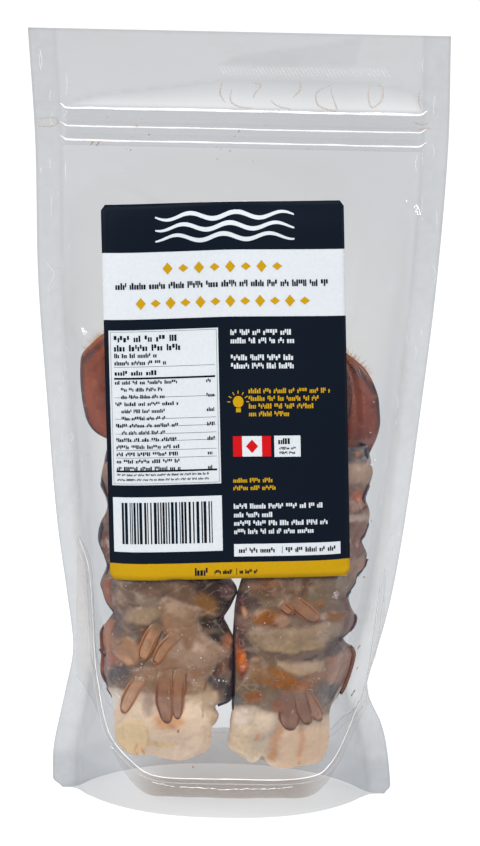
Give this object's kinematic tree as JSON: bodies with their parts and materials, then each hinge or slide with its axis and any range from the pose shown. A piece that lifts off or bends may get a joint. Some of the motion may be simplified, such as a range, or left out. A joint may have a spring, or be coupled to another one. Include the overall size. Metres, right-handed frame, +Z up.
{
  "type": "lobster tail pouch",
  "caption": "Clear stand-up zip pouch with a plain printed paper label, holding frozen lobster tails in their shells.",
  "frame": {"origin": "middle of the base, on the surface that the pouch stands on", "axes": "+Z up along the pouch, +Y towards its back, -Y towards its label, +X to the right of someone facing the label"},
  "size_m": [0.1565, 0.0718, 0.2941],
  "materials": {
    "clear_film": "clear glossy film, slightly hazy, over frozen lobster tails",
    "label_paper": "coated label paper printed navy, white and gold"
  },
  "bodies": {
    "root": {"pouch": "clear_film", "label": "label_paper"}
  },
  "joints": []
}
